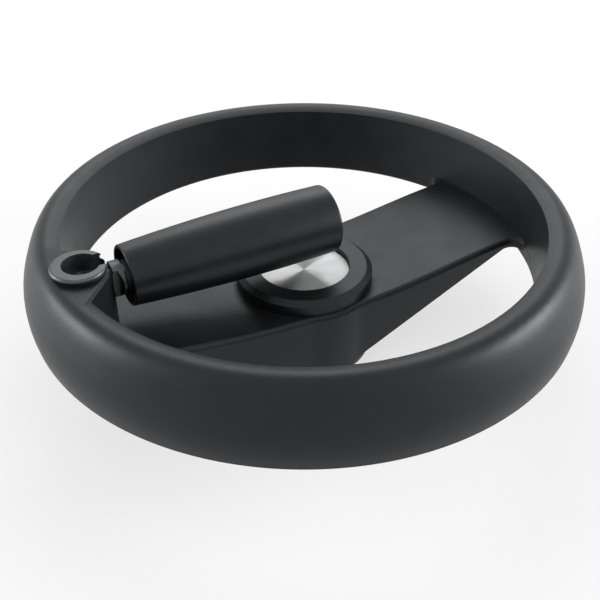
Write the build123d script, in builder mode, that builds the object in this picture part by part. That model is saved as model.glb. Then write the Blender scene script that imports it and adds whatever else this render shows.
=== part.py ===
"""Two-arm machine handwheel with a revolving handle that folds down over the hub.

Millimetres, +Z up. The origin is on the bore's axis, at the bottom face of the hub, where the
wheel seats on its shaft's shoulder. The two arms lie along X, and so does the folded handle: its
hinge is in the rim on the -X side and its grip points at the hub.
"""
import os
from math import cos, hypot, isclose, radians, sin, sqrt, tan

from build123d import *

# ---------------------------------------------------------------- driving dimensions: the rim
rim_radius = 100.0           # at the widest point of the bulged outer wall
rim_bottom_radius = 99.3     # outer wall at the bottom edge
rim_shoulder_radius = 98.4   # outer wall where the crown begins
rim_crest_radius = 90.4      # highest line of the crown
rim_edge_radius = 85.1       # crisp edge between the crown and the inner wall
rim_inner_radius = 84.3      # inner wall at the bottom
rim_base = 31.0              # height of the rim's bottom above the hub's bottom
rim_height = 28.3            # bottom of the rim to its crest
rim_edge_drop = 1.4          # crisp edge below the crest
rim_shoulder_height = 16.8   # top of the outer wall above the rim's bottom
rim_bulge_height = 8.5       # height of the widest point above the rim's bottom
rim_bottom_round = 1.3       # rounding of the rim's two bottom edges
rim_edge_round = 0.45        # rounding of the crisp edge

# ---------------------------------------------------------------- the arms
arm_half_width = 25.4        # flank to centre line
arm_foot_height = 30.2       # arm's top face at the hub's collar
arm_rim_height = 37.7        # arm's top face at the rim's inner wall
arm_dish = 0.35              # how far the top face leaves a straight cone, down then up
arm_tip_thickness = 3.7      # at the rim
arm_under_slope = 23.8       # degrees, underside of the arm
arm_under_height = 12.9      # height of the underside where it leaves the hub
arm_edge_round = 1.8         # rounding of the flanks' top edges
arm_corner_round = 4.0       # flank to rim, seen from above
root_overlap = 2.5           # how far the arms run into the hub and the rim
arm_skin = 3.0               # top wall over the cores
arm_side_wall = 3.2          # flanks beside the cores
rib_thickness = 2.6          # ribs between the cores
core_tip_gap = 22.3          # outer end of the cores to the rim's inner wall

# ---------------------------------------------------------------- the hub
hub_foot_radius = 25.3       # lower hub at the bottom face
hub_top_radius = 27.0        # lower hub at the arms, with its mould draft
hub_blend_round = 15.0       # flank to hub, seen from above
hub_foot_chamfer = 1.2
collar_radius = 25.3         # raised ring on top of the hub
collar_top = 35.7
collar_chamfer_height = 1.6
collar_chamfer_width = 2.1
bore_radius = 10.0           # shaft bore, 20 H7
bore_length = 26.0
insert_radius = 15.5
insert_groove_depth = 1.0    # groove that locks the insert in the moulding
insert_groove_width = 5.0
screw_recess_radius = 12.0   # counterbore for the shaft's end screw
cap_radius = 16.85
cap_thickness = 2.0
cap_recess = 2.35            # top of the cap below the collar's top
cap_clearance = 0.15
cap_edge_round = 0.3
cap_spigot_length = 2.4
cap_spigot_wall = 1.5

# ---------------------------------------------------------------- the hinge in the rim
pivot_inset = 3.0            # hinge's vertical axis inside the rim's inner wall
pivot_height = 52.7          # cross pin's axis
boss_radius = 9.5
boss_splay = 48.0            # degrees, the boss's flanks to the arm's centre line
boss_edge_round = 1.35
seat_washer_radius = 8.2
seat_washer_thickness = 1.4
seat_clearance = 0.15
bush_radius = 8.0            # barrel of the bush
bush_bore_radius = 6.2
bush_flange_radius = 9.3
bush_flange_shift = 0.75     # flange's centre outward of the barrel's, clear of the head's socket
bush_flange_thickness = 1.0
bush_flange_round = 0.9
slot_clearance = 0.15        # each side of the head in the bush's slot
slot_floor_clearance = 0.35
pin_radius = 2.0
pin_clearance = 0.03
pin_half_length = 7.8
pin_chamfer = 0.3
head_thickness = 6.7         # flats of the swivel head
head_eye_radius = 4.2
head_flat = 3.8              # cross pin's axis to the two detent flats
relief_clearance = 0.25      # head's milled sides to the bush's flange while it swings
socket_radius = 6.05         # round socket of the head
socket_shoulder = 13.2       # from the cross pin
socket_end = 19.0            # end of its neck
socket_neck_radius = 5.4
socket_chamfer = 0.6
plunger_clearance = 0.08
plunger_gap = 0.05           # plunger to the eye's round at rest, and to a flat when it is home
plunger_length = 8.0
plunger_chamfer = 0.4
plunger_pocket_radius = 4.3
plunger_pocket_depth = 5.0
plug_thickness = 3.0
plug_slot_width = 1.6
plug_slot_depth = 1.2
spring_radius = 3.4          # middle of the wire
spring_wire_radius = 0.45
spring_turns = 4.0
spring_gap = 0.1

# ---------------------------------------------------------------- the revolving handle
grip_start = 13.7            # mouth of the grip, from the cross pin
grip_length = 77.0
grip_mouth_radius = 10.5
grip_middle_radius = 12.45
grip_end_radius = 12.4
grip_mouth_round = 0.5
grip_end_round = 1.0
grip_recess_radius = 9.4     # around the head's socket
grip_bore_radius = 5.5
grip_end_recess_radius = 8.0
grip_end_recess_depth = 9.0
spindle_radius = 4.0
spindle_stub_radius = 3.0    # threaded stub in the head's socket
spindle_stub_length = 6.0
spindle_end_chamfer = 0.5
spindle_pin_radius = 0.8
spindle_pin_place = 14.6     # from the cross pin
spindle_pin_recess = 0.3
spindle_run = 0.05           # running clearance of the bearings
thrust_gap = 0.1             # axial play at each end of the grip
thrust_washer_radius = 7.5
thrust_washer_thickness = 1.0
bearing_flange_radius = 7.2
bearing_flange_thickness = 1.5
bearing_length = 14.0        # barrel below the flange
end_washer_radius = 6.5
end_washer_thickness = 1.0
ring_radius = 6.0
ring_thickness = 1.0
ring_groove_radius = 3.2
ring_gap_width = 4.2
spindle_tail = 1.5           # spindle beyond its ring
end_plug_thickness = 2.4
end_plug_spigot = 1.6
end_plug_wall = 1.2
end_plug_clearance = 0.05
end_plug_chamfer = 0.3

# ---------------------------------------------------------------- derived places
rim_crest = rim_base + rim_height
arm_root = collar_radius - root_overlap
arm_reach = rim_inner_radius + root_overlap
core_start = hub_top_radius + arm_side_wall
core_reach = rim_inner_radius - core_tip_gap
cross_rib_radius = (core_start + core_reach) / 2
pivot_radius = rim_inner_radius - pivot_inset
insert_top = collar_top - cap_recess - cap_thickness
cap_seat_radius = cap_radius + cap_clearance
boss_top = rim_crest
flange_base = boss_top + seat_washer_thickness
flange_top = flange_base + bush_flange_thickness
slot_half = head_thickness / 2 + slot_clearance
slot_floor = pivot_height - socket_radius - slot_floor_clearance
flange_round_out = sqrt((bush_flange_radius - bush_flange_round) ** 2 - slot_half**2) - bush_flange_shift
flange_round_up = flange_top - bush_flange_round - pivot_height
head_relief_radius = hypot(flange_round_out, flange_round_up) + bush_flange_round + relief_clearance
tang_step = flange_top - pivot_height + relief_clearance
plunger_top = pivot_height - head_eye_radius - plunger_gap
plunger_base = plunger_top - plunger_length
plug_top = rim_base + plug_thickness
spring_top = plunger_base + plunger_pocket_depth
grip_end = grip_start + grip_length
recess_floor = socket_end + thrust_washer_thickness + thrust_gap + bearing_flange_thickness
end_floor = grip_end - grip_end_recess_depth
end_washer_start = end_floor + bearing_flange_thickness + thrust_gap
ring_start = end_washer_start + end_washer_thickness
spindle_end = ring_start + ring_thickness + spindle_tail

# Planes and axes of the hinge's upright bush, and of the folded handle seen along it and from its side.
hinge = Plane((-pivot_radius, 0, 0))
hinge_side = Plane((-pivot_radius, 0, 0), x_dir=(1, 0, 0), z_dir=(0, -1, 0))
hinge_axis = Axis((-pivot_radius, 0, 0), (0, 0, 1))
handle = Plane((-pivot_radius, 0, pivot_height), x_dir=(0, 1, 0), z_dir=(1, 0, 0))
handle_side = Plane((-pivot_radius, 0, pivot_height), x_dir=(1, 0, 0), z_dir=(0, -1, 0))
handle_axis = Axis((-pivot_radius, 0, pivot_height), (1, 0, 0))


def dish_section(drop):
    """Half section of the arms' blank, whose top lies drop below the arms' own top face."""
    third = (rim_inner_radius - arm_root) / 3
    rise = (arm_rim_height - arm_foot_height) / 3
    with BuildSketch(Plane.XZ) as section:
        with BuildLine():
            top = Spline(
                (arm_root, arm_foot_height - drop),
                (arm_root + third, arm_foot_height + rise - arm_dish - drop),
                (arm_root + 2 * third, arm_foot_height + 2 * rise + arm_dish - drop),
                (arm_reach, arm_rim_height - drop),
            )
            Polyline(top @ 1, (arm_reach, 0), (0, 0), (0, arm_foot_height - drop), top @ 0)
        make_face()
    return section.sketch


# ================================================================ the wheel's moulding
with BuildPart() as arm_cores:
    # Blind pockets moulded into the arms from below, between the ribs.
    revolve(dish_section(arm_skin), axis=Axis.Z)
    with BuildSketch() as core_plan:
        Rectangle(2 * core_reach, 2 * (arm_half_width - arm_side_wall))
        Circle(core_start, mode=Mode.SUBTRACT)
        rib_pitch = (2 * (arm_half_width - arm_side_wall) + rib_thickness) / 3
        with GridLocations(0, rib_pitch, 1, 2):
            Rectangle(2 * core_reach, rib_thickness, mode=Mode.SUBTRACT)
        with GridLocations(2 * cross_rib_radius, 0, 2, 1):
            Rectangle(rib_thickness, 2 * arm_half_width, mode=Mode.SUBTRACT)
    extrude(amount=rim_crest, mode=Mode.INTERSECT)

with BuildPart() as hinge_boss:
    # Round post in the rim, whose flanks splay out to the crown and whose top is level with the crest.
    with BuildSketch(Plane.XY.offset(rim_base)):
        with Locations((-pivot_radius, 0)):
            Circle(boss_radius)
        with BuildLine():
            lean = radians(boss_splay)
            touch_x = boss_radius * sin(lean) - pivot_radius
            touch_y = boss_radius * cos(lean)
            root_y = touch_y + (touch_x + rim_radius) * tan(lean)
            Polyline(
                (touch_x, -touch_y), (touch_x, touch_y), (-rim_radius, root_y), (-rim_radius, -root_y),
                close=True,
            )
        make_face()
        Circle(rim_crest_radius, mode=Mode.INTERSECT)
    extrude(amount=boss_top - rim_base)
    boss_rim = hinge_boss.edges().group_by(Axis.Z)[-1]
    fillet(boss_rim.filter_by(lambda e: hypot(e.center().X, e.center().Y) < 0.99 * rim_crest_radius),
           boss_edge_round)

with BuildPart() as wheel_body:
    # Both arms as one dished bridge.
    revolve(dish_section(0), axis=Axis.Z)
    with BuildSketch() as arm_plan:
        Rectangle(2 * arm_reach, 2 * arm_half_width)
        Circle(hub_top_radius)
        with BuildSketch(mode=Mode.PRIVATE) as rim_ring:
            Circle(arm_reach)
            Circle(rim_inner_radius, mode=Mode.SUBTRACT)
            Rectangle(4 * rim_radius, 2 * (arm_half_width + 3 * arm_corner_round), mode=Mode.INTERSECT)
        add(rim_ring.sketch)
        flank_ends = arm_plan.vertices().filter_by(lambda v: isclose(abs(v.Y), arm_half_width, abs_tol=0.01))
        fillet(flank_ends.filter_by(lambda v: abs(v.X) < hub_top_radius), hub_blend_round)
        flank_ends = arm_plan.vertices().filter_by(lambda v: isclose(abs(v.Y), arm_half_width, abs_tol=0.01))
        rim_corners = flank_ends.filter_by(lambda v: rim_inner_radius / 2 < abs(v.X) < rim_inner_radius)
        fillet(rim_corners, arm_corner_round)
    extrude(amount=rim_crest, mode=Mode.INTERSECT)
    flank_edges = wheel_body.edges().filter_by(
        lambda e: e.center().Z > 0.9 * arm_foot_height and abs(e.center().Y) > 0.9 * arm_half_width
        and hypot(e.center().X, e.center().Y) < 0.99 * rim_inner_radius
    )
    fillet(flank_edges, arm_edge_round)
    # Undersides that slope up from the hub, then run level into the rim.
    with BuildSketch(Plane.XZ):
        with BuildLine():
            under_tip = arm_rim_height - arm_tip_thickness
            level_start = hub_foot_radius + (under_tip - arm_under_height) / tan(radians(arm_under_slope))
            Polyline(
                (0, arm_under_height - hub_foot_radius * tan(radians(arm_under_slope))),
                (level_start, under_tip),
                (arm_reach, under_tip),
                (arm_reach, -hub_foot_radius),
                (0, -hub_foot_radius),
                close=True,
            )
        make_face()
        mirror(about=Plane.YZ)
    extrude(amount=2 * rim_radius, both=True, mode=Mode.SUBTRACT)
    add(arm_cores.part, mode=Mode.SUBTRACT)
    # Rim: a solid ring with a bulged outer wall and a rounded crown.
    with BuildSketch(Plane.XZ) as rim_section:
        with BuildLine():
            base_inner = (rim_inner_radius + rim_bottom_round, rim_base)
            base_outer = (rim_bottom_radius - rim_bottom_round, rim_base)
            floor = Line(base_inner, base_outer)
            toe = RadiusArc(floor @ 1, (rim_bottom_radius, rim_base + rim_bottom_round), -rim_bottom_round)
            wall = ThreePointArc(
                toe @ 1, (rim_radius, rim_base + rim_bulge_height),
                (rim_shoulder_radius, rim_base + rim_shoulder_height),
            )
            crown = Spline(
                wall @ 1, (rim_crest_radius, rim_crest), (rim_edge_radius, rim_crest - rim_edge_drop),
                tangents=(wall % 1, (-1, -0.5)),
            )
            inner_foot = (rim_inner_radius, rim_base + rim_bottom_round)
            Line(crown @ 1, inner_foot)
            RadiusArc(inner_foot, base_inner, -rim_bottom_round)
        make_face()
        crisp_corner = (rim_edge_radius, 0, rim_crest - rim_edge_drop)
        fillet(rim_section.vertices().sort_by_distance(crisp_corner)[0], rim_edge_round)
    revolve(axis=Axis.Z)
    # Hub: a drafted boss below the arms and a chamfered collar above them.
    with BuildSketch(Plane.XZ):
        with BuildLine():
            Polyline(
                (0, 0),
                (hub_foot_radius - hub_foot_chamfer, 0),
                (hub_foot_radius, hub_foot_chamfer),
                (hub_top_radius - arm_edge_round / 2, arm_foot_height - arm_edge_round),
                (collar_radius, arm_foot_height - arm_edge_round),
                (collar_radius, collar_top - collar_chamfer_height),
                (collar_radius - collar_chamfer_width, collar_top),
                (0, collar_top),
                (0, 0),
            )
        make_face()
    revolve(axis=Axis.Z)
    add(hinge_boss.part)
    # Bore for the bush, and the slot for the folded handle's head.
    with Locations(hinge.offset(rim_base)):
        Cylinder(bush_radius, rim_height, align=(Align.CENTER, Align.CENTER, Align.MIN), mode=Mode.SUBTRACT)
    with BuildSketch(hinge.offset(slot_floor)):
        Rectangle(2 * boss_radius, 2 * slot_half, align=(Align.MIN, Align.CENTER))
    extrude(amount=rim_height, mode=Mode.SUBTRACT)
    # Seats for the insert and the cap.
    with BuildSketch(Plane.XZ):
        with BuildLine():
            groove = bore_length / 2
            Polyline(
                (0, 0),
                (insert_radius, 0),
                (insert_radius, groove - insert_groove_width / 2),
                (insert_radius - insert_groove_depth, groove - insert_groove_width / 2),
                (insert_radius - insert_groove_depth, groove + insert_groove_width / 2),
                (insert_radius, groove + insert_groove_width / 2),
                (insert_radius, insert_top),
                (cap_seat_radius, insert_top),
                (cap_seat_radius, collar_top),
                (0, collar_top),
                (0, 0),
            )
        make_face()
    revolve(axis=Axis.Z, mode=Mode.SUBTRACT)
wheel_body.part.label = "wheel_body"


# ================================================================ fixed pieces of the hub
with BuildPart() as hub_insert:
    # Steel bush moulded into the hub, with the shaft's bore and the end screw's recess.
    with BuildSketch(Plane.XZ):
        with BuildLine():
            Polyline(
                (bore_radius, 0),
                (insert_radius, 0),
                (insert_radius, bore_length / 2 - insert_groove_width / 2),
                (insert_radius - insert_groove_depth, bore_length / 2 - insert_groove_width / 2),
                (insert_radius - insert_groove_depth, bore_length / 2 + insert_groove_width / 2),
                (insert_radius, bore_length / 2 + insert_groove_width / 2),
                (insert_radius, insert_top),
                (screw_recess_radius, insert_top),
                (screw_recess_radius, bore_length),
                (bore_radius, bore_length),
                close=True,
            )
        make_face()
    revolve(axis=Axis.Z)
hub_insert.part.label = "hub_insert"

with BuildPart() as hub_cap:
    # Turned disc in the collar's recess, held by a spigot ring in the insert.
    with BuildSketch(Plane.XY.offset(insert_top)):
        Circle(cap_radius)
    extrude(amount=cap_thickness)
    fillet(hub_cap.edges().group_by(Axis.Z)[-1], cap_edge_round)
    with BuildSketch(Plane.XY.offset(insert_top)):
        Circle(screw_recess_radius - cap_clearance)
        Circle(screw_recess_radius - cap_clearance - cap_spigot_wall, mode=Mode.SUBTRACT)
    extrude(amount=-cap_spigot_length)
hub_cap.part.label = "hub_cap"


# ================================================================ fixed pieces of the hinge
with BuildPart() as seat_washer:
    # Open ring between the boss and the bush's flange.
    with BuildSketch(hinge.offset(boss_top)):
        Circle(seat_washer_radius)
        Circle(bush_radius + seat_clearance, mode=Mode.SUBTRACT)
        Rectangle(2 * seat_washer_radius, 2 * slot_half, align=(Align.MIN, Align.CENTER), mode=Mode.SUBTRACT)
    extrude(amount=seat_washer_thickness)
seat_washer.part.label = "seat_washer"

with BuildPart() as pivot_bush:
    # Flanged bush, slotted on the side where the folded head lies.
    with BuildSketch(hinge_side) as bush_section:
        with BuildLine():
            Polyline(
                (bush_bore_radius, rim_base),
                (bush_radius, rim_base),
                (bush_radius, flange_top),
                (bush_bore_radius, flange_top),
                close=True,
            )
        make_face()
    revolve(axis=hinge_axis)
    with BuildSketch(hinge.offset(flange_base)):
        with Locations((-bush_flange_shift, 0)):
            Circle(bush_flange_radius)
        Circle(bush_radius, mode=Mode.SUBTRACT)
    extrude(amount=bush_flange_thickness)
    fillet(pivot_bush.edges().group_by(Axis.Z)[-1].sort_by(SortBy.RADIUS)[-1], bush_flange_round)
    with BuildSketch(hinge.offset(slot_floor)):
        Rectangle(2 * bush_flange_radius, 2 * slot_half, align=(Align.MIN, Align.CENTER))
    extrude(amount=rim_height, mode=Mode.SUBTRACT)
    with BuildSketch(handle_side):
        Circle(pin_radius)
    extrude(amount=bush_radius, both=True, mode=Mode.SUBTRACT)
pivot_bush.part.label = "pivot_bush"

with BuildPart() as pivot_pin:
    # Cross pin, pressed into the bush, that the head swings on.
    with BuildSketch(handle_side):
        Circle(pin_radius)
    extrude(amount=pin_half_length, both=True)
    chamfer(pivot_pin.edges().filter_by(GeomType.CIRCLE), pin_chamfer)
pivot_pin.part.label = "pivot_pin"

with BuildPart() as base_plug:
    # Slotted screw plug that closes the bush and carries the spring.
    with BuildSketch(hinge.offset(rim_base)):
        Circle(bush_bore_radius)
    extrude(amount=plug_thickness)
    with BuildSketch(hinge.offset(rim_base)):
        Rectangle(2 * bush_bore_radius, plug_slot_width)
    extrude(amount=plug_slot_depth, mode=Mode.SUBTRACT)
base_plug.part.label = "base_plug"

with BuildPart() as detent_spring:
    # Compression spring between the plug and the plunger's pocket.
    spring_height = spring_top - plug_top - 2 * (spring_wire_radius + spring_gap)
    with BuildLine() as coil:
        Helix(
            pitch=spring_height / spring_turns,
            height=spring_height,
            radius=spring_radius,
            center=(-pivot_radius, 0, plug_top + spring_wire_radius + spring_gap),
        )
    with BuildSketch(Plane(coil.line @ 0, z_dir=coil.line % 0)):
        Circle(spring_wire_radius)
    sweep()
detent_spring.part.label = "detent_spring"


# ================================================================ the plunger
with BuildPart() as detent_plunger:
    # Cup that the spring lifts against the head's two flats.
    with BuildSketch(hinge.offset(plunger_base)):
        Circle(bush_bore_radius - plunger_clearance)
    extrude(amount=plunger_length)
    chamfer(detent_plunger.edges().group_by(Axis.Z)[-1], plunger_chamfer)
    with BuildSketch(hinge.offset(plunger_base)):
        Circle(plunger_pocket_radius)
    extrude(amount=plunger_pocket_depth, mode=Mode.SUBTRACT)
detent_plunger.part.label = "detent_plunger"


# ================================================================ the folding head and its spindle
with BuildPart() as swivel_head:
    # Eye with two detent flats, then a round socket with a neck.
    with BuildSketch(handle_side):
        Circle(head_eye_radius)
        Rectangle(tang_step, 2 * head_flat, align=(Align.MIN, Align.CENTER))
        with Locations((-head_flat, -head_flat)):
            Rectangle(
                head_flat + tang_step, head_flat + head_eye_radius, align=(Align.MIN, Align.MIN),
                mode=Mode.INTERSECT,
            )
    extrude(amount=head_thickness / 2, both=True)
    with BuildSketch(handle_side):
        with BuildLine():
            Polyline(
                (tang_step, 0),
                (tang_step, socket_radius),
                (socket_shoulder - socket_chamfer, socket_radius),
                (socket_shoulder, socket_radius - socket_chamfer),
                (socket_shoulder, socket_neck_radius),
                (socket_end, socket_neck_radius),
                (socket_end, spindle_stub_radius),
                (socket_end - spindle_stub_length, spindle_stub_radius),
                (socket_end - spindle_stub_length, 0),
                close=True,
            )
        make_face()
    revolve(axis=handle_axis)
    # Sides milled flat inside the arc that the bush's flange sweeps.
    for side in (-1, 1):
        with BuildSketch(handle_side.offset(side * head_thickness / 2)):
            Circle(head_relief_radius)
        extrude(amount=side * socket_radius, mode=Mode.SUBTRACT)
    with BuildSketch(handle_side):
        Circle(pin_radius + pin_clearance)
        with Locations((spindle_pin_place, 0)):
            Circle(spindle_pin_radius)
    extrude(amount=socket_radius, both=True, mode=Mode.SUBTRACT)
swivel_head.part.label = "swivel_head"

with BuildPart() as spindle:
    # Shouldered rod that the grip turns on, screwed into the head.
    with BuildSketch(handle_side):
        with BuildLine():
            Polyline(
                (socket_end - spindle_stub_length, 0),
                (socket_end - spindle_stub_length, spindle_stub_radius),
                (socket_end, spindle_stub_radius),
                (socket_end, spindle_radius),
                (ring_start, spindle_radius),
                (ring_start, ring_groove_radius),
                (ring_start + ring_thickness, ring_groove_radius),
                (ring_start + ring_thickness, spindle_radius),
                (spindle_end - spindle_end_chamfer, spindle_radius),
                (spindle_end, spindle_radius - spindle_end_chamfer),
                (spindle_end, 0),
                close=True,
            )
        make_face()
    revolve(axis=handle_axis)
    with BuildSketch(handle_side):
        with Locations((spindle_pin_place, 0)):
            Circle(spindle_pin_radius)
    extrude(amount=socket_radius, both=True, mode=Mode.SUBTRACT)
spindle.part.label = "spindle"

with BuildPart() as spindle_pin:
    # Pin across the socket that locks the spindle's thread.
    with BuildSketch(handle_side):
        with Locations((spindle_pin_place, 0)):
            Circle(spindle_pin_radius)
    extrude(amount=socket_neck_radius - spindle_pin_recess, both=True)
spindle_pin.part.label = "spindle_pin"

with BuildPart() as thrust_washer:
    # Washer between the head's socket and the front bearing.
    with BuildSketch(handle.offset(socket_end)):
        Circle(thrust_washer_radius)
        Circle(spindle_radius + spindle_run, mode=Mode.SUBTRACT)
    extrude(amount=thrust_washer_thickness)
thrust_washer.part.label = "thrust_washer"

with BuildPart() as retaining_washer:
    # Washer that the rear bearing pulls against.
    with BuildSketch(handle.offset(end_washer_start)):
        Circle(end_washer_radius)
        Circle(spindle_radius + spindle_run, mode=Mode.SUBTRACT)
    extrude(amount=end_washer_thickness)
retaining_washer.part.label = "retaining_washer"

with BuildPart() as retaining_ring:
    # Open ring snapped into the spindle's groove.
    with BuildSketch(handle.offset(ring_start)):
        Circle(ring_radius)
        Circle(ring_groove_radius, mode=Mode.SUBTRACT)
        Rectangle(ring_gap_width, ring_radius, align=(Align.CENTER, Align.MIN), mode=Mode.SUBTRACT)
    extrude(amount=ring_thickness)
retaining_ring.part.label = "retaining_ring"


# ================================================================ the grip and what turns with it
with BuildPart() as grip:
    # Barrel-shaped sleeve with a deep mouth around the head's socket.
    with BuildSketch(handle_side) as grip_section:
        with BuildLine():
            back = ThreePointArc(
                (grip_start, grip_mouth_radius),
                (grip_start + grip_length / 2, grip_middle_radius),
                (grip_end, grip_end_radius),
            )
            Polyline(
                back @ 1,
                (grip_end, grip_end_recess_radius),
                (end_floor, grip_end_recess_radius),
                (end_floor, grip_bore_radius),
                (recess_floor, grip_bore_radius),
                (recess_floor, grip_recess_radius),
                (grip_start, grip_recess_radius),
                back @ 0,
            )
        make_face()
        fillet(grip_section.vertices().group_by(Axis.X)[0].sort_by(Axis.Z)[-1], grip_mouth_round)
        fillet(grip_section.vertices().group_by(Axis.X)[-1].sort_by(Axis.Z)[-1], grip_end_round)
    revolve(axis=handle_axis)
grip.part.label = "grip"


def bearing_section(face, way):
    """Half section of a flanged bearing whose flange seats at face and whose barrel runs along way."""
    flange = face - way * bearing_flange_thickness
    barrel = face + way * bearing_length
    with BuildSketch(handle_side) as section:
        with BuildLine():
            Polyline(
                (flange, spindle_radius + spindle_run),
                (flange, bearing_flange_radius),
                (face, bearing_flange_radius),
                (face, grip_bore_radius),
                (barrel, grip_bore_radius),
                (barrel, spindle_radius + spindle_run),
                close=True,
            )
        make_face()
    return section.sketch


with BuildPart() as front_bearing:
    revolve(bearing_section(recess_floor, 1), axis=handle_axis)
front_bearing.part.label = "front_bearing"

with BuildPart() as rear_bearing:
    revolve(bearing_section(end_floor, -1), axis=handle_axis)
rear_bearing.part.label = "rear_bearing"

with BuildPart() as grip_end_plug:
    # Snap-in disc that closes the grip's far end.
    with BuildSketch(handle.offset(grip_end - end_plug_thickness)):
        Circle(grip_end_recess_radius - end_plug_clearance)
    extrude(amount=end_plug_thickness)
    chamfer(grip_end_plug.edges().group_by(Axis.X)[-1], end_plug_chamfer)
    with BuildSketch(handle.offset(grip_end - end_plug_thickness)):
        Circle(grip_end_recess_radius - end_plug_clearance)
        Circle(grip_end_recess_radius - end_plug_clearance - end_plug_wall, mode=Mode.SUBTRACT)
    extrude(amount=-end_plug_spigot)
grip_end_plug.part.label = "grip_end_plug"


os.makedirs("parts", exist_ok=True)
for piece in (
    wheel_body, hub_insert, hub_cap, seat_washer, pivot_bush, pivot_pin, base_plug, detent_spring,
    detent_plunger, swivel_head, spindle, spindle_pin, thrust_washer, retaining_washer, retaining_ring,
    grip, front_bearing, rear_bearing, grip_end_plug,
):
    export_step(piece.part, f"parts/{piece.part.label}.step")
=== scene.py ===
"""A two-arm machine handwheel in black plastic, dressed and lit round its CAD solids."""

from math import cos, radians, sin

import bpy
from mathutils import Matrix, Vector


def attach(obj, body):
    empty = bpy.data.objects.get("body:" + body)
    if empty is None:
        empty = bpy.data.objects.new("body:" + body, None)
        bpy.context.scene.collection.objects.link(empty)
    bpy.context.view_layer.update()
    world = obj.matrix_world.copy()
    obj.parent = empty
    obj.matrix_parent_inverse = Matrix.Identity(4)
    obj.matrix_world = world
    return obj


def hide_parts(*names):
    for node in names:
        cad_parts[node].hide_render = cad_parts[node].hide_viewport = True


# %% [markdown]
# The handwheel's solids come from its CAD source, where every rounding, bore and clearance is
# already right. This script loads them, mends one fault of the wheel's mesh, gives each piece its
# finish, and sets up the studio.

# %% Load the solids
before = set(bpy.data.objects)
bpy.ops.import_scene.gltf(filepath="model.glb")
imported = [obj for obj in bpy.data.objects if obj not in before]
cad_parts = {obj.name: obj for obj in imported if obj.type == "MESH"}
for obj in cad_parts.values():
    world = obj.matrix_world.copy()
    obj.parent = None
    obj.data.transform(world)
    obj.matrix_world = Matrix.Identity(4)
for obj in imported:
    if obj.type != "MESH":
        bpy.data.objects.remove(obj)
pieces = dict(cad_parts)
bpy.ops.object.select_all(action="DESELECT")
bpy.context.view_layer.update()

# %% [markdown]
# About two thousand triangles of the wheel's mesh are too coarse for the two roundings under its
# rim, and the worst lies 0.4 mm inside the round. Against the pale floor they show as small steps.
# So the wheel gets a copy of its mesh in which these triangles are divided. Every edge that cuts
# the corner of the round gets a new point on the round. The point depends on the edge's two ends
# alone, so both triangles beside the edge get the same one, and the skin stays closed. Triangles
# away from the two rounds keep their corners and their normals.

# %% Measure points against the two rounds
round_size = 0.0013                 # radius of both rounds, in metres
round_height = 0.0323               # height of their centres
outer_round, inner_round = 0.098, 0.0856    # their centres' distances from the wheel's axis
touching = 0.000005                 # how near counts as on the round


def off_centre(point, centre):
    """The way from the round's centre to a point: outward from the wheel's axis, and up."""
    return Vector((Vector(point[:2]).length - centre, point[2] - round_height))


def on_round(point, centre):
    """Whether a point lies on the quarter of the round that the mesh uses."""
    away = off_centre(point, centre)
    outward = 1 if centre == outer_round else -1
    at_radius = abs(away.length - round_size) < touching
    return at_radius and away.x * outward > -touching and away.y < touching


def turned_to(point, out, height):
    """The place at this distance from the axis and this height, on the same bearing as a point."""
    flat = Vector(point[:2]).normalized() * out
    return Vector((flat.x, flat.y, height))


def round_normal(point, centre):
    """The round's own normal at a point."""
    away = off_centre(point, centre).normalized()
    return turned_to(point, away.x, away.y)


def on_border(start, end, centre):
    """Whether an edge runs along the round's upper or lower border, which its neighbours share."""
    level = abs(start.z - end.z) < touching
    at_top = abs(start.z - round_height) < touching
    at_bottom = abs(off_centre(start, centre).x) < touching
    return level and (at_top or at_bottom)


# %% Divide one triangle
cut_allowed = 0.00003               # how far inside the round an edge's middle may lie


def divide(corners, centre):
    """The fine triangles that take the place of a coarse one."""
    worst_side, worst_cut = None, cut_allowed
    for side in range(3):
        start, end = corners[side], corners[(side + 1) % 3]
        cut = round_size - off_centre((start + end) / 2, centre).length
        if cut > worst_cut and not on_border(start, end, centre):
            worst_side, worst_cut = side, cut
    if worst_side is None:
        return [corners]
    start, end, apex = (corners[(worst_side + k) % 3] for k in range(3))
    middle = (start + end) / 2
    away = off_centre(middle, centre).normalized() * round_size
    middle = turned_to(middle, centre + away.x, round_height + away.y)
    return divide([start, middle, apex], centre) + divide([middle, end, apex], centre)


# %% Build the wheel's finer copy
flat_face = 0.99999                 # a face whose normal is steeper than this lies level
place_digits = 8                    # corners that agree to so many decimals of a metre are one

coarse = pieces["wheel_body"].data
places, faces, normals = {}, [], []
for face in coarse.polygons:
    corners = [coarse.vertices[i].co.copy() for i in face.vertices]
    centre = None
    if abs(face.normal.z) < flat_face:
        for candidate in (outer_round, inner_round):
            if all(on_round(corner, candidate) for corner in corners):
                centre = candidate
    if centre is None:
        triangles = [corners]
        normals += [coarse.corner_normals[i].vector.copy() for i in face.loop_indices]
    else:
        triangles = divide(corners, centre)
        normals += [round_normal(corner, centre) for triangle in triangles for corner in triangle]
    for triangle in triangles:
        keys = [tuple(round(v, place_digits) for v in corner) for corner in triangle]
        faces.append([places.setdefault(key, len(places)) for key in keys])

mesh = bpy.data.meshes.new("wheel_moulding")
mesh.from_pydata(list(places), [], faces, shade_flat=False)
mesh.normals_split_custom_set(normals)
wheel_moulding = bpy.data.objects.new("wheel_moulding", mesh)
bpy.context.scene.collection.objects.link(wheel_moulding)
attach(wheel_moulding, "wheel")
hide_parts("wheel_body")
pieces["wheel_moulding"] = wheel_moulding
print("wheel triangles:", len(coarse.polygons), "before,", len(faces), "after")

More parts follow.
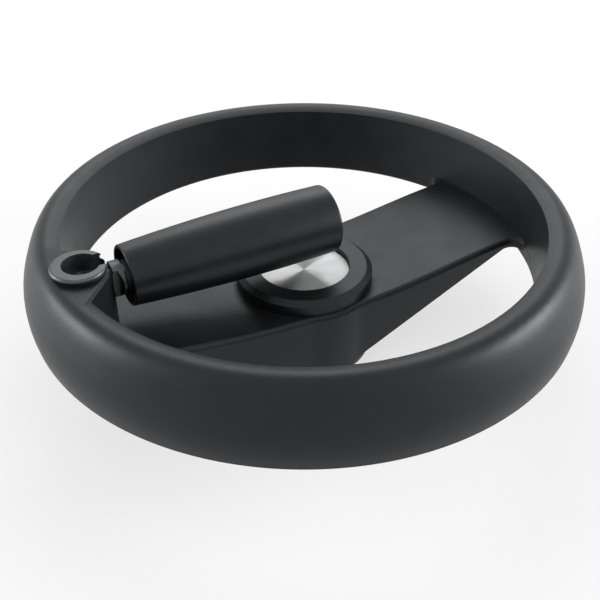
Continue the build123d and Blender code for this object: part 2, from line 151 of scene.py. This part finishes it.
# %% [markdown]
# A finish is a node material. All of them start from one Principled shader, with its plain numbers
# typed straight on the shader's own sockets. A pattern is added between the object's own
# coordinates and the shader, so that it is fixed to the piece and moves with it.

# %% Start a finish
def new_finish(name, colour, roughness, metallic=0.0, specular=0.5):
    """A material with one Principled shader, and its node tree."""
    material = bpy.data.materials.new(name)
    material.use_nodes = True
    tree = material.node_tree
    shader = tree.nodes["Principled BSDF"]
    shader.inputs["Base Color"].default_value = (*colour, 1)
    shader.inputs["Roughness"].default_value = roughness
    shader.inputs["Metallic"].default_value = metallic
    shader.inputs["Specular IOR Level"].default_value = specular
    return material, tree, shader


def add_noise(tree, cells_per_metre, detail=3.0):
    """A noise texture on object coordinates, and its factor output."""
    place = tree.nodes.new("ShaderNodeTexCoord")
    noise = tree.nodes.new("ShaderNodeTexNoise")
    noise.inputs["Scale"].default_value = cells_per_metre
    noise.inputs["Detail"].default_value = detail
    tree.links.new(place.outputs["Object"], noise.inputs["Vector"])
    return noise.outputs["Fac"]


def spread(tree, factor, low, high, low_in=0.3, high_in=0.7):
    """Maps a factor's own range, low_in to high_in, to the range from low to high."""
    remap = tree.nodes.new("ShaderNodeMapRange")
    remap.inputs["From Min"].default_value = low_in
    remap.inputs["From Max"].default_value = high_in
    remap.inputs["To Min"].default_value = low
    remap.inputs["To Max"].default_value = high
    tree.links.new(factor, remap.inputs["Value"])
    return remap.outputs["Result"]


def mottle(tree, shader, factor, dark, light):
    """Lets the base colour wander between two near shades."""
    ramp = tree.nodes.new("ShaderNodeValToRGB")
    for stop, position, shade in zip(ramp.color_ramp.elements, (0.3, 0.7), (dark, light)):
        stop.position = position
        stop.color = (*shade, 1)
    tree.links.new(factor, ramp.inputs["Fac"])
    tree.links.new(ramp.outputs["Color"], shader.inputs["Base Color"])
    return ramp.outputs["Color"]


def emboss(tree, shader, factor, depth):
    """Turns a pattern into small relief, depth in metres."""
    bump = tree.nodes.new("ShaderNodeBump")
    bump.inputs["Distance"].default_value = depth
    tree.links.new(factor, bump.inputs["Height"])
    tree.links.new(bump.outputs["Normal"], shader.inputs["Normal"])


def paint(material, *names):
    """Puts a finish on these pieces."""
    for name in names:
        slots = pieces[name].data.materials
        slots.clear()
        slots.append(material)
    print(material.name, "on", ", ".join(names))


# %% [markdown]
# The wheel is one moulding in glass-filled black nylon. Up close its skin has a fine matt grain
# from the mould, about a quarter of a millimetre across, and the fibres leave faint cloudy patches
# in the gloss. The grain is relief from a fine noise. The patches come from a coarse noise on the
# colour and the roughness, which costs nothing in the mesh and reads right at every distance. Such
# plastic throws back a slightly cool light, so its specular tint holds less red.

# %% Moulded black plastic of the wheel
cool_sheen = (0.84, 0.94, 1, 1)
patches_per_metre, patch_detail = 90, 4
grains_per_metre, grain_detail, grain_depth = 3600, 2, 0.00003

wheel_plastic, tree, shader = new_finish(
    "wheel_plastic", (0.007, 0.0076, 0.0083), roughness=0.42, specular=0.32
)
shader.inputs["Specular Tint"].default_value = cool_sheen
patches = add_noise(tree, patches_per_metre, patch_detail)
mottle(tree, shader, patches, dark=(0.006, 0.0065, 0.0071), light=(0.0085, 0.0092, 0.01))
tree.links.new(spread(tree, patches, 0.4, 0.46), shader.inputs["Roughness"])
emboss(tree, shader, add_noise(tree, grains_per_metre, grain_detail), grain_depth)
paint(wheel_plastic, "wheel_moulding")

# %% [markdown]
# The revolving grip is a separate moulding. It has a smoother skin than the wheel, polished further
# by the hand that turns it, so its highlight is tighter. Its end plug is the same plastic.

# %% Satin black plastic of the grip
rubs_per_metre, rub_detail = 120, 4
grains_per_metre, grain_detail, grain_depth = 2400, 2, 0.000015

grip_plastic, tree, shader = new_finish(
    "grip_plastic", (0.006, 0.0062, 0.0068), roughness=0.36, specular=0.32
)
shader.inputs["Specular Tint"].default_value = cool_sheen
rub = add_noise(tree, rubs_per_metre, rub_detail)
mottle(tree, shader, rub, dark=(0.005, 0.0052, 0.0058), light=(0.007, 0.0073, 0.008))
tree.links.new(spread(tree, rub, 0.33, 0.4), shader.inputs["Roughness"])
emboss(tree, shader, add_noise(tree, grains_per_metre, grain_detail), grain_depth)
paint(grip_plastic, "grip", "grip_end_plug")

# %% [markdown]
# The hub cap is an aluminium disc faced on a lathe. The tool leaves fine rings about the wheel's
# axis, a few thousandths of a millimetre deep, and they pull each highlight out into a fan. The
# rings are a wave texture about the vertical axis. The fan comes from the shader's anisotropy: its
# tangent runs round the same axis, and a quarter turn sets the highlight across the rings.

# %% Turned aluminium of the hub cap
rings_scale, ring_wander, ring_depth = 900, 0.4, 0.000004
full_fan, across_rings = 1.0, 0.25

cap_aluminium, tree, shader = new_finish(
    "cap_aluminium", (0.48, 0.485, 0.49), roughness=0.5, metallic=1.0
)
place = tree.nodes.new("ShaderNodeTexCoord")
rings = tree.nodes.new("ShaderNodeTexWave")
rings.wave_type = "RINGS"
rings.rings_direction = "Z"
rings.inputs["Scale"].default_value = rings_scale
rings.inputs["Distortion"].default_value = ring_wander
tree.links.new(place.outputs["Object"], rings.inputs["Vector"])
emboss(tree, shader, rings.outputs["Fac"], ring_depth)

round_axis = tree.nodes.new("ShaderNodeTangent")
round_axis.direction_type = "RADIAL"
round_axis.axis = "Z"
tree.links.new(round_axis.outputs["Tangent"], shader.inputs["Tangent"])
shader.inputs["Anisotropic"].default_value = full_fan
shader.inputs["Anisotropic Rotation"].default_value = across_rings
paint(cap_aluminium, "hub_cap")

# %% [markdown]
# The hinge is blackened steel. The oxide is thin, so the metal's sheen shows through it, with a
# slightly uneven tone where the bath took more or less. In the bush's bore and in the slot the
# colour is darkened as painted shade, for the shade that falls in these hollows. The ambient
# occlusion node
# finds such places: it says how open each point is within a few millimetres. It looks at the
# piece's own shape alone, so that the painted shade stays where it is when the handle moves.

# %% Blackened steel of the hinge
oxide_per_metre, oxide_detail = 400, 4
grains_per_metre, grain_detail, grain_depth = 3000, 2, 0.000012
hollow_reach = 0.008                # how far the walls of a hollow may be, in metres
hollow_open, face_open = 0.4, 0.92  # openness deep in a hollow and out on a face
deepest_shade_share, open_face_share = 0.02, 1.0      # the share of the colour that is left there

black_steel, tree, shader = new_finish(
    "black_steel", (0.084, 0.09, 0.095), roughness=0.4, metallic=0.85
)
oxide = add_noise(tree, oxide_per_metre, oxide_detail)
unshaded_colour = mottle(tree, shader, oxide, dark=(0.07, 0.075, 0.079), light=(0.1, 0.107, 0.113))
tree.links.new(spread(tree, oxide, 0.36, 0.48), shader.inputs["Roughness"])
emboss(tree, shader, add_noise(tree, grains_per_metre, grain_detail), grain_depth)

# Painted shade: the colour is multiplied down in the hollows that the ambient occlusion node finds,
# to a fiftieth deep in a hollow.
openness = tree.nodes.new("ShaderNodeAmbientOcclusion")
openness.only_local = True
openness.inputs["Distance"].default_value = hollow_reach
unshaded_share = spread(tree, openness.outputs["AO"], deepest_shade_share, open_face_share, hollow_open, face_open)
painted_shade = tree.nodes.new("ShaderNodeMix")
painted_shade.data_type = "RGBA"
painted_shade.blend_type = "MULTIPLY"
painted_shade.inputs["Factor"].default_value = 1.0
tree.links.new(unshaded_colour, painted_shade.inputs["A"])
tree.links.new(unshaded_share, painted_shade.inputs["B"])
tree.links.new(painted_shade.outputs["Result"], shader.inputs["Base Color"])
paint(black_steel, "pivot_bush", "swivel_head", "base_plug")

# %% [markdown]
# The pieces inside the hinge, the grip and the hub get the finish that each has on the bench. Most
# of them hardly show, so these finishes are cheap: one noise for the colour, and on the pins, the
# washers and the insert the same noise again for the roughness.

# %% Bright steel of the pins, spindle, plunger and washers
wear_per_metre, wear_detail = 700, 4
pin_steel, tree, shader = new_finish("pin_steel", (0.5, 0.5, 0.5), roughness=0.26, metallic=1.0)
wear = add_noise(tree, wear_per_metre, wear_detail)
mottle(tree, shader, wear, dark=(0.46, 0.46, 0.46), light=(0.54, 0.54, 0.545))
tree.links.new(spread(tree, wear, 0.22, 0.34), shader.inputs["Roughness"])
paint(
    pin_steel,
    "pivot_pin", "detent_plunger", "spindle", "spindle_pin", "thrust_washer", "retaining_washer",
)

# %% Drawn wire and spring strip
drawn_per_metre, drawn_detail = 900, 4
spring_steel, tree, shader = new_finish(
    "spring_steel", (0.42, 0.42, 0.44), roughness=0.34, metallic=1.0
)
drawn = add_noise(tree, drawn_per_metre, drawn_detail)
mottle(tree, shader, drawn, dark=(0.36, 0.36, 0.38), light=(0.46, 0.46, 0.475))
paint(spring_steel, "detent_spring", "retaining_ring")

# %% Turned steel of the insert
turned_per_metre, turned_detail = 500, 4
insert_steel, tree, shader = new_finish(
    "insert_steel", (0.55, 0.55, 0.56), roughness=0.34, metallic=1.0
)
turned = add_noise(tree, turned_per_metre, turned_detail)
mottle(tree, shader, turned, dark=(0.5, 0.5, 0.51), light=(0.6, 0.6, 0.61))
tree.links.new(spread(tree, turned, 0.28, 0.4), shader.inputs["Roughness"])
paint(insert_steel, "hub_insert")

# %% Plastic of the seat washer
washer_cells_per_metre = 800
washer_plastic, tree, shader = new_finish("washer_plastic", (0.012, 0.012, 0.013), roughness=0.5)
washer_cloud = add_noise(tree, washer_cells_per_metre)
mottle(tree, shader, washer_cloud, dark=(0.01, 0.01, 0.011), light=(0.015, 0.015, 0.016))
paint(washer_plastic, "seat_washer")

# %% Plastic of the bearings
bearing_cells_per_metre = 600
bearing_plastic, tree, shader = new_finish("bearing_plastic", (0.75, 0.74, 0.7), roughness=0.4)
bearing_cloud = add_noise(tree, bearing_cells_per_metre)
mottle(tree, shader, bearing_cloud, dark=(0.72, 0.71, 0.66), light=(0.78, 0.77, 0.73))
paint(bearing_plastic, "front_bearing", "rear_bearing")

# %% [markdown]
# The studio is plain: a pale floor that runs out of sight, and a white world behind it. Light Path
# tells the rays apart. Rays from the camera, off a glossy surface or through glass see a full
# white world, and more than half of the floor's look is a white glow. The glow's share grows with
# the distance from the middle, until the floor runs into the world without an edge. For every
# other ray the world is dimmer and the floor is plain paper, so the lamps shape the object and its
# shadow stays.

# %% Rays that see the background
white = (1, 1, 1, 1)


def seen_rays(tree):
    """One for rays from the camera, off a glossy surface or through glass, else nought."""
    rays = tree.nodes.new("ShaderNodeLightPath")
    either = rays.outputs["Is Camera Ray"]
    for kind in ("Is Glossy Ray", "Is Transmission Ray"):
        most = tree.nodes.new("ShaderNodeMath")
        most.operation = "MAXIMUM"
        tree.links.new(either, most.inputs[0])
        tree.links.new(rays.outputs[kind], most.inputs[1])
        either = most.outputs[0]
    return either


# %% Floor
floor_size = 12
shadow_reach, white_from = 0.2, 0.9     # metres from the middle of the floor
glow_near, glow_far = 0.6, 1.0          # the glow's share of the floor's look

bpy.ops.mesh.primitive_plane_add(size=floor_size, location=(0, 0, 0))
floor = bpy.context.object
floor.name = "floor"
floor_paper, tree, paper = new_finish("floor_paper", (0.9, 0.9, 0.9), roughness=0.9, specular=0.1)
place = tree.nodes.new("ShaderNodeTexCoord")
from_middle = tree.nodes.new("ShaderNodeVectorMath")
from_middle.operation = "LENGTH"
tree.links.new(place.outputs["Object"], from_middle.inputs[0])
glow_share = spread(
    tree, from_middle.outputs["Value"], glow_near, glow_far, shadow_reach, white_from
)
seen_part = tree.nodes.new("ShaderNodeMath")
seen_part.operation = "MULTIPLY"
tree.links.new(seen_rays(tree), seen_part.inputs[0])
tree.links.new(glow_share, seen_part.inputs[1])
glow = tree.nodes.new("ShaderNodeEmission")
glow.inputs["Color"].default_value = white
blend = tree.nodes.new("ShaderNodeMixShader")
tree.links.new(seen_part.outputs[0], blend.inputs["Fac"])
tree.links.new(paper.outputs[0], blend.inputs[1])
tree.links.new(glow.outputs[0], blend.inputs[2])
tree.links.new(blend.outputs[0], tree.nodes["Material Output"].inputs["Surface"])
floor.data.materials.append(floor_paper)
print("floor:", floor_size, "metres across, white from", white_from)

# %% World
fill_strength, seen_strength = 0.57, 1.0

world = bpy.data.worlds.new("studio")
bpy.context.scene.world = world
world.use_nodes = True
tree = world.node_tree
fill = tree.nodes["Background"]
fill.inputs["Color"].default_value = white
fill.inputs["Strength"].default_value = fill_strength
seen = tree.nodes.new("ShaderNodeBackground")
seen.inputs["Color"].default_value = white
seen.inputs["Strength"].default_value = seen_strength
blend = tree.nodes.new("ShaderNodeMixShader")
tree.links.new(seen_rays(tree), blend.inputs["Fac"])
tree.links.new(fill.outputs[0], blend.inputs[1])
tree.links.new(seen.outputs[0], blend.inputs[2])
tree.links.new(blend.outputs[0], tree.nodes["World Output"].inputs["Surface"])
print("world: seen at", seen_strength, "and lighting at", fill_strength)

# %% [markdown]
# The camera looks down at 36 degrees, across the wheel from the front left, so that the arms run
# from lower left to upper right. Its place follows from that angle and from the distance at which
# the lens fills a 600 by 600 picture with the wheel.

# %% Camera
view_turn = radians(28.3)      # from the arms' front view, about the vertical
view_drop = radians(36.05)     # down from the horizon
view_roll = radians(0.24)
camera_place = Vector((-0.1329, -0.2436, 0.2211))
lens_length, sensor_width = 54, 36      # millimetres
nearest_seen = 0.01                     # metres

level = cos(view_drop)
forward = Vector((sin(view_turn) * level, cos(view_turn) * level, -sin(view_drop)))
level_right = Vector((cos(view_turn), -sin(view_turn), 0))
level_up = level_right.cross(forward)
right = level_right * cos(view_roll) - level_up * sin(view_roll)
up = level_right * sin(view_roll) + level_up * cos(view_roll)
turn = Matrix((right, up, -forward)).transposed().to_4x4()

camera_data = bpy.data.cameras.new("camera")
camera_data.lens = lens_length
camera_data.sensor_width = sensor_width
camera_data.clip_start = nearest_seen
camera = bpy.data.objects.new("camera", camera_data)
bpy.context.scene.collection.objects.link(camera)
camera.matrix_world = Matrix.Translation(camera_place) @ turn
bpy.context.scene.camera = camera
bpy.context.scene.view_settings.view_transform = "Standard"
print("camera at", [round(v, 3) for v in camera_place])

# %% [markdown]
# Three soft boxes light the wheel: a large one behind and above, which draws the sheen on the
# crown and the arms, and one low at each side for the walls. Each is placed by its direction seen
# from the camera, so that its job is plain from the numbers.

# %% Lamps
def soft_box(name, side, height, distance, size, strength):
    """An area lamp aimed at the wheel, placed by two angles in degrees.

    side is turned clockwise from the camera's own bearing, and height is up from the floor.
    """
    bearing = view_turn + radians(side)
    flat = cos(radians(height)) * distance
    place = Vector((-sin(bearing) * flat, -cos(bearing) * flat, sin(radians(height)) * distance))
    data = bpy.data.lights.new(name, "AREA")
    data.shape = "RECTANGLE"
    data.size, data.size_y = size
    data.energy = strength
    lamp = bpy.data.objects.new(name, data)
    bpy.context.scene.collection.objects.link(lamp)
    lamp.location = place
    lamp.rotation_mode = "QUATERNION"
    lamp.rotation_quaternion = (-place).to_track_quat("-Z", "Y")
    print(name, "at", [round(v, 2) for v in place])


lamp_distance = 1.2             # metres from the wheel's foot
large_box, small_box = (0.8, 0.6), (0.6, 0.4)
soft_box("back_light", 180, 42, lamp_distance, large_box, strength=4)
soft_box("left_light", 90, 15, lamp_distance, small_box, strength=10)
soft_box("right_light", -90, 15, lamp_distance, small_box, strength=12.5)
